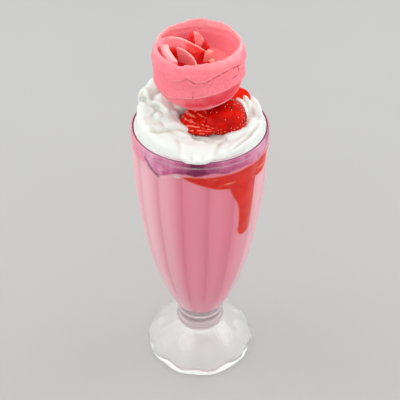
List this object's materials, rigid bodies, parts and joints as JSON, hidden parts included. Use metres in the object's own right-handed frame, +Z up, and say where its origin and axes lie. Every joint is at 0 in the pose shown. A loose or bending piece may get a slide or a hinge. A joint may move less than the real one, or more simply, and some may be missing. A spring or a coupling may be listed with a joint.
{
  "type": "strawberry milkshake",
  "caption": "Strawberry milkshake in a footed, fluted soda glass, topped with whipped cream, cut strawberries and a rolled scoop of strawberry ice cream.",
  "frame": {"origin": "centre of the foot, on the surface the glass stands on", "axes": "+Z up along the glass's axis, -Y towards the front as pictured, +X to the right of it"},
  "size_m": [0.0816, 0.0816, 0.2415],
  "materials": {
    "glass": "clear pressed glass with a mauve tint near the rim",
    "milkshake": "opaque pale pink drink",
    "sauce": "wet, clear red strawberry sauce",
    "cream": "smooth whipped cream with a soft sheen",
    "ice_cream": "smooth scraped strawberry ice cream",
    "strawberry": "wet cut strawberry with seeds"
  },
  "bodies": {
    "root": {"glass": "glass", "milkshake": "milkshake", "strawberry_sauce": "sauce", "whipped_cream": "cream", "ice_cream_scoop": "ice_cream", "scoop_sauce": "sauce", "berry_chunk_back": "strawberry", "berry_chunk_side": "strawberry", "berry_chunk_front": "strawberry", "strawberry_front": "strawberry", "strawberry_slice": "strawberry", "strawberry_back": "strawberry"}
  },
  "joints": []
}
